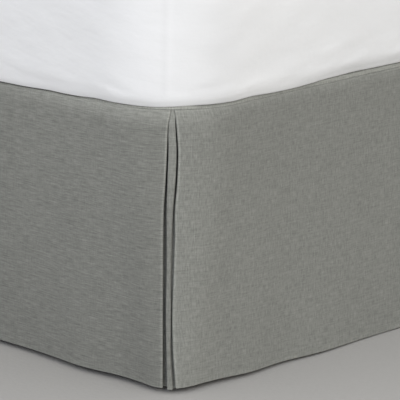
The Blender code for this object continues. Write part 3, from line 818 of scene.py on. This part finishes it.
def mattress_relief(around, height):
    """Creases and dents of the mattress's cover, outwards from its side."""
    relief = bumps(COVER_SWELLS, around, height) + bumps(COVER_DENTS, around, height)
    relief += bumps(COVER_WRINKLES, around, height - WRINKLE_FALL * np.abs(around))
    for row in MATTRESS_CREASES:
        side = -1.0 if row.around < 0 else 1.0
        slant = math.atan(row.rise)
        east, north = around - row.around, height - row.height
        lengthwise = east * math.cos(slant) + side * north * math.sin(slant)
        across = -side * east * math.sin(slant) + north * math.cos(slant)
        ends = np.exp(-(lengthwise / row.half_length) ** 2)
        crease = ends * np.exp(-(across / row.half_width) ** 2)
        shoulder = ends * np.exp(-(across / row.half_width / SHOULDER_WIDER) ** 2)
        relief -= row.depth * (crease - CREASE_SHOULDER * shoulder)
    return relief * between(height, COVER_STARTS, COVER_ENDS)


def from_corners(around):
    """The way round from each of the four corners, from minus to plus half the whole way."""
    total = 2 * (BED_WIDTH + BED_LENGTH) - 8 * TOP_CORNER_RADIUS * (1 - math.pi / 4)
    return [(around - corner_at + total / 2) % total - total / 2
            for corner_at in (0.0, FACE_AT_TOP, FACE_AT_TOP - total / 2, total / 2)]


def corner_ease(around):
    """How the mattress's corners ease into its flat sides, outwards: the sides stand out a little and
    the corners' middles in, so that the bend fades out instead of ending."""
    at = np.linspace(0.0, EASE_WAY, EASE_STEPS + 1)
    bend_end = TOP_CORNER_RADIUS * math.pi / 4
    eased = 1 - ramp(at, bend_end - MATTRESS_EASE, bend_end + MATTRESS_EASE)
    change = ((at < bend_end) - eased) / TOP_CORNER_RADIUS
    slope = np.cumsum(change) * (at[1] - at[0])
    moved = np.cumsum(slope) * (at[1] - at[0])
    nearest = np.min(np.abs(np.array(from_corners(around))), axis=0)
    return np.interp(nearest, at, moved - moved[-1] / 2)


def corner_seams(around):
    """The upright seam of the cover at each corner, as how far out it stands and how pale it is painted: a
    fine groove with painted shade, the low ridge of the cloth turned under beside it with a painted
    highlight, and a fainter groove with painted shade at its other side."""
    relief, tone = np.zeros_like(around), np.zeros_like(around)
    for way in from_corners(around):
        across = way - SEAM_SHIFT
        ridge = between(across, (0.0, SEAM_EASE), (SEAM_WIDTH - SEAM_EASE, SEAM_WIDTH))
        groove = np.exp(-(across / SEAM_GROOVE) ** 2)
        far_groove = np.exp(-((across - SEAM_WIDTH) / SEAM_GROOVE) ** 2)
        for part, (out, paler) in ((ridge, SEAM_RIDGE), (-groove, NEAR_GROOVE), (-far_groove, FAR_GROOVE)):
            relief += out * part
            tone += paler * part
    return relief, tone


def add_mattress(material):
    """The covered mattress: a rounded lower edge that sags over the rim in places, creased sides
    with a seam up each corner, and a soft crown."""
    numbered = [(number, *row) for number, row in enumerate(MATTRESS_SIDE)]
    section = table("number out height sag_out sag_height", *numbered)
    at = np.linspace(0, len(section) - 1, MATTRESS_RINGS)[:, None]
    sag = smooth(MATTRESS_SAG, "share", AROUND)[None, :]
    outs, heights = (smooth(section, field, at) * (1 - sag)
                     + smooth(section, "sag_" + field, at) * sag for field in ("out", "height"))
    round_it = np.broadcast_to(AROUND, outs.shape)
    outs = outs + mattress_relief(round_it, heights)
    on_side = between(heights, SEAM_STARTS, SEAM_ENDS)
    seams, seam_tone = corner_seams(AROUND)
    outs = outs + (seams + corner_ease(AROUND))[None, :] * on_side
    # The cover's tone: the seams' painted highlight and shade, then the painted light and shade of the table
    tone = np.zeros((MATTRESS_RINGS + TOP_RINGS - 1, len(AROUND)))
    tone[:MATTRESS_RINGS] = seam_tone[None, :] * on_side
    for row in MATTRESS_SHADES:
        east, north = (round_it - row.around) / row.half_length, (heights - row.height) / row.half_height
        tone[:MATTRESS_RINGS] += row.paler * np.exp(-east ** 2 - north ** 2)
    points, _ = stack_rings(outs, DECK_TOP + heights)
    count = len(AROUND)
    top = points[-count:]
    half_spine = (BED_LENGTH - BED_WIDTH) / 2
    middle_y = (FOOT + HEAD) / 2
    spine_y = middle_y + np.clip(top[:, 1] - middle_y, -half_spine, half_spine)
    spine = np.stack([np.zeros(count), spine_y], axis=-1)
    rings = []
    for share in np.linspace(0, LAST_RING, TOP_RINGS)[1:]:
        flat = top[:, :2] + (spine - top[:, :2]) * share
        dents = TOP_DENTS.depth + bumps(TOP_DENTS, flat[:, 0], flat[:, 1])
        heights = top[:, 2] - dents * ramp(np.full(count, share), *TOP_DENTS_START)
        rings.append(np.concatenate([flat, heights[:, None]], axis=-1))
    points = np.concatenate([points] + rings)
    faces = ring_faces(MATTRESS_RINGS + TOP_RINGS - 1, count)
    piece = add_mesh("mattress_cover", points, faces, material, None, tone)
    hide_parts("mattress")


def add_box_spring(material):
    """The covered box spring: soft upright edges with a welt of piping round its top and bottom."""
    low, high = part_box("box_spring")
    bottom, top = low[2], high[2]
    face, piping_up = -BOX_INSET, BOX_EDGE + PIPING_OFF
    turn = [(out, 0.0) for out in BOX_FLAT]
    turn += arc(face - BOX_EDGE, BOX_EDGE, BOX_EDGE, BOX_EDGE, -math.pi / 2, 0, BOX_EDGE_STEPS)
    turn += arc(face, piping_up + BOX_PIPING, BOX_PIPING, BOX_PIPING, -math.pi / 2, math.pi / 2,
                BOX_PIPING_STEPS)
    turn.append((face - BOX_SIDE_IN, piping_up + PIPING_OFF + 2 * BOX_PIPING))
    side = []
    for share in np.linspace(0, 1, BOX_SIDE_STEPS + 1)[1:-1]:
        height = bottom + (top - bottom) * (BOX_SIDE_START + (1 - 2 * BOX_SIDE_START) * share)
        side.append((face - BOX_SIDE_IN - BOX_PULL * math.sin(math.pi * share), height))
    lower, upper = [(out, bottom + up) for out, up in turn], [(out, top - up) for out, up in turn[::-1]]
    section = np.array(lower + side + upper)
    height = section[:, 1:]
    on_side = ramp(np.minimum(height - bottom, top - height), *BOX_RIPPLES_START)
    outs = section[:, :1] + bumps(BOX_RIPPLES, AROUND[None, :], height) * on_side
    heights = height + np.zeros((1, len(AROUND)))
    points, cloth = stack_rings(outs, heights)
    faces = ring_faces(len(section), len(AROUND))
    piece = add_mesh("box_spring_cover", points, faces, material, cloth)
    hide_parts("box_spring")


# ---- materials
def feed(tree, socket, value):
    """Links a socket to another node's output, or sets it to a value."""
    if isinstance(value, bpy.types.NodeSocket):
        tree.links.new(value, socket)
    else:
        socket.default_value = value


def add_node(tree, kind, inputs, output=0, **settings):
    """One output of a new node, which takes its settings and then its inputs, by name or number."""
    node = tree.nodes.new("ShaderNode" + kind)
    for setting, value in settings.items():
        setattr(node, setting, value)
    for key, value in inputs.items():
        feed(tree, node.inputs[key], value)
    return node.outputs[output]


class Maker:
    """A material, with short names for the few kinds of node that the materials use."""

    def __init__(self, name, base, roughness, specular):
        self.material = bpy.data.materials.new(name)
        self.material.use_nodes = True
        self.material.diffuse_color = (*base, 1)
        self.tree = self.material.node_tree
        self.base = base
        self.shade("Roughness", roughness)
        self.shade("Specular IOR Level", specular)

    def shade(self, key, value):
        feed(self.tree, self.tree.nodes["Principled BSDF"].inputs[key], value)

    def node(self, kind, inputs, output=0, **settings):
        return add_node(self.tree, kind, inputs, output, **settings)

    def math(self, operation, a, b=0.0, clamp=False):
        return self.node("Math", {0: a, 1: b}, operation=operation, use_clamp=clamp)

    def add(self, total, *values):
        for value in values:
            total = self.math("ADD", total, value)
        return total

    def times(self, a, b):
        return self.math("MULTIPLY", a, b)

    def mixed(self, *parts):
        """The sum of some values, each times its weight."""
        return self.add(0.0, *(self.times(value, weight) for value, weight in parts if weight))

    def cloth(self):
        return self.node("Attribute", {}, "Vector", attribute_name="cloth")

    # The tone attribute: painted light and painted shade
    def tone(self):
        return self.node("Attribute", {}, "Fac", attribute_name="tone")

    def object_place(self):
        return self.node("TexCoord", {}, "Object")

    def separate(self, vector):
        return self.node("SeparateXYZ", {0: vector}).node.outputs

    def leaning(self, vector, fall):
        """The same place with its height less by fall for each metre along x and y."""
        x, y, z = self.separate(vector)
        lower = self.math("SUBTRACT", z, self.times(self.math("ADD", x, y), fall))
        return self.node("CombineXYZ", {0: x, 1: y, 2: lower})

    def noise(self, vector, cells, detail, roughness=0.5):
        """Noise from about -1 to 1, with so many cells a metre along each axis."""
        spread = self.node("VectorMath", {0: vector, 1: cells}, operation="MULTIPLY")
        inputs = {"Vector": spread, "Scale": 1.0, "Detail": detail, "Roughness": roughness}
        return self.math("SUBTRACT", self.times(self.node("TexNoise", inputs, "Fac"), 2.0), 1.0)

    def noises(self, vector, rows):
        """What a table's noises add to the colour and to the height, and the noises."""
        made = [self.noise(vector, row.cells, row.detail, row.roughness) for row in rows]
        colour = self.mixed(*((noise, row.colour) for noise, row in zip(made, rows)))
        height = self.mixed(*((noise, row.height) for noise, row in zip(made, rows)))
        return colour, height, made

    def colour(self, brightness):
        base = self.node("VectorMath", {0: self.base, "Scale": brightness}, operation="SCALE")
        self.shade("Base Color", base)

    def bump(self, height, depth):
        self.shade("Normal", self.node("Bump", {"Height": height, "Distance": depth}))


def linen_material(name, weft_share, warp_share):
    """Slubby plain weave: uneven threads both ways and rare pale slubs."""
    maker = Maker(name, LINEN, roughness=0.92, specular=0.2)
    cloth = maker.cloth()
    threads, slubs = [], []
    for row in LINEN_THREADS:
        shown = row.weft * weft_share + row.warp * warp_share
        threads.append((maker.noise(cloth, row.cells, row.detail), shown))
    for row in LINEN_SLUBS:
        slub = maker.noise(cloth, row.cells, row.detail)
        inputs = {"Value": slub, "From Min": SLUB_STARTS[0], "From Max": SLUB_STARTS[1]}
        slub = maker.node("MapRange", inputs, "Result", interpolation_type="SMOOTHSTEP")
        slubs.append((slub, row.weft * weft_share + row.warp * warp_share))
    threads, slubs = maker.mixed(*threads), maker.mixed(*slubs)
    uneven, _, _ = maker.noises(cloth, LINEN_NOISES)
    # The tone attribute brings in the sheets' painted highlights, painted light and painted shade
    maker.colour(maker.times(maker.add(1.0, threads, slubs, uneven), maker.add(1.0, maker.tone())))
    along, down, _ = maker.separate(cloth)
    over, under = [maker.math("SINE", maker.times(way, 2 * math.pi / THREAD_PITCH)) for way in (along, down)]
    weave = maker.times(over, under)
    height = maker.mixed((weave, WEAVE_HEIGHT), (threads, THREAD_HEIGHT), (slubs, SLUB_HEIGHT))
    maker.bump(height, LINEN_BUMP)
    maker.shade("Sheen Weight", 0.1)
    maker.shade("Sheen Roughness", 0.6)
    return maker.material


def cotton_material():
    """Smooth white cotton with a fine close weave, faint clouds and small pulled wrinkles."""
    maker = Maker("white_cotton", COTTON, roughness=0.85, specular=0.25)
    spot = maker.object_place()
    uneven, height, _ = maker.noises(spot, COTTON_NOISES)
    wrinkled, wrinkles, _ = maker.noises(maker.leaning(spot, WRINKLE_FALL), WRINKLE_NOISES)
    # The tone attribute brings in the cover's painted light and painted shade
    maker.colour(maker.add(1.0, uneven, wrinkled, maker.tone()))
    maker.bump(maker.add(height, wrinkles), COTTON_BUMP)
    maker.shade("Sheen Weight", 0.1)
    return maker.material


def box_cover_material():
    """Off-white woven ticking with close upright ribs."""
    maker = Maker("box_cover", BOX_COVER, roughness=0.88, specular=0.25)
    cloth = maker.cloth()
    ribs = maker.math("SINE", maker.times(maker.separate(cloth)[0], 2 * math.pi / RIB_PITCH))
    uneven, height, _ = maker.noises(cloth, TICKING_NOISES)
    maker.colour(maker.add(1.0, maker.times(ribs, RIB_SHADE), uneven))
    maker.bump(maker.add(maker.times(ribs, RIB_HEIGHT), height), TICKING_BUMP)
    return maker.material


def steel_material():
    """Dark satin paint on steel, with a fine orange-peel texture and a little dust in places."""
    maker = Maker("painted_steel", STEEL, roughness=0.45, specular=0.5)
    uneven, height, (_, dust) = maker.noises(maker.object_place(), PAINT_NOISES)
    maker.colour(maker.add(1.0, uneven))
    maker.bump(height, PAINT_BUMP)
    maker.shade("Roughness", maker.math("ADD", CLEAN_ROUGHNESS, maker.times(dust, DUST_ROUGHNESS), True))
    maker.shade("Metallic", 0.3)
    return maker.material


def floor_material():
    maker = Maker("pale_floor", FLOOR, roughness=0.8, specular=0.2)
    uneven, height, _ = maker.noises(maker.object_place(), FLOOR_NOISES)
    maker.colour(maker.add(1.0, uneven))
    maker.bump(height, FLOOR_BUMP)
    return maker.material


# ---- camera, light, floor
def add_camera():
    """The photograph's view, fitted to its outlines: from the left of the foot, looking down."""
    data = bpy.data.cameras.new("camera")
    data.sensor_width = 36.0
    data.lens = CAMERA_LENS
    data.clip_start, data.clip_end = 0.1, 100.0
    camera = add_object("camera", data)
    turned = Matrix.Translation(Vector(CAMERA_PLACE) + Vector((LEFT, FOOT, 0.0)))
    for angle, axis in ((-CAMERA_HEADING, "Z"), (90 - CAMERA_TILT, "X"), (CAMERA_ROLL, "Z")):
        turned = turned @ Matrix.Rotation(math.radians(angle), 4, axis)
    camera.matrix_world = turned
    bpy.context.scene.camera = camera


def add_lamp(lamp, aim):
    data = bpy.data.lights.new(lamp.name, "AREA")
    data.shape = "DISK"
    data.size = LAMP_SIZE
    data.energy = lamp.power
    data.color = lamp.colour
    light = add_object(lamp.name, data)
    light.location = aim + Vector(lamp.place)
    light.rotation_mode = "QUATERNION"
    light.rotation_quaternion = (-Vector(lamp.place)).to_track_quat("-Z", "Y")
    light.visible_camera = False


def add_studio():
    world = bpy.data.worlds.new("studio")
    world.use_nodes = True
    tree = world.node_tree
    height = add_node(tree, "SeparateXYZ", {0: add_node(tree, "TexCoord", {}, "Generated")}, "Z")
    lines = {}
    for number, row in enumerate(WORLD_LIGHT):
        inputs = {"Value": height, "To Min": row.horizon, "To Max": row.above}
        lines[number] = add_node(tree, "MapRange", inputs, "Result")
    strength = add_node(tree, "Math", lines, operation="MINIMUM")
    background = tree.nodes["Background"].inputs
    feed(tree, background["Color"], (1.0, 1.0, 1.0, 1.0))
    feed(tree, background["Strength"], strength)
    bpy.context.scene.world = world
    for lamp in LAMPS:
        add_lamp(lamp, Vector((LEFT, FOOT, LAMPS_AIM)))
    mesh = bpy.data.meshes.new("floor")
    ways = ((-1, -1), (1, -1), (1, 1), (-1, 1))
    points = [(FLOOR_REACH * x, FLOOR_REACH * y, -FLOOR_DOWN) for x, y in ways]
    mesh.from_pydata(points, [], [(0, 1, 2, 3)])
    mesh.materials.append(floor_material())
    floor = add_object("floor", mesh)
    bpy.context.scene.view_settings.view_transform = "Standard"


# ---- the whole
add_camera()
side_linen = linen_material("linen_side", weft_share=1.0, warp_share=0.45)
foot_linen = linen_material("linen_foot", weft_share=0.6, warp_share=0.85)
add_deck(foot_linen)
add_drop(DROP_LEFT, side_linen)
add_drop(DROP_FOOT, foot_linen)
add_drop(DROP_RIGHT, side_linen)
add_underlay("underlay_left", DROP_LEFT, False, foot_linen, tag=4)
add_underlay("underlay_right", DROP_RIGHT, True, foot_linen, tag=5)
add_mattress(cotton_material())
add_box_spring(box_cover_material())
steel = steel_material()
for node_name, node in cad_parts.items():
    if node_name.startswith(("rail_", "cross_rail_", "leg_")):
        node.data.materials.clear()
        node.data.materials.append(steel)
add_studio()
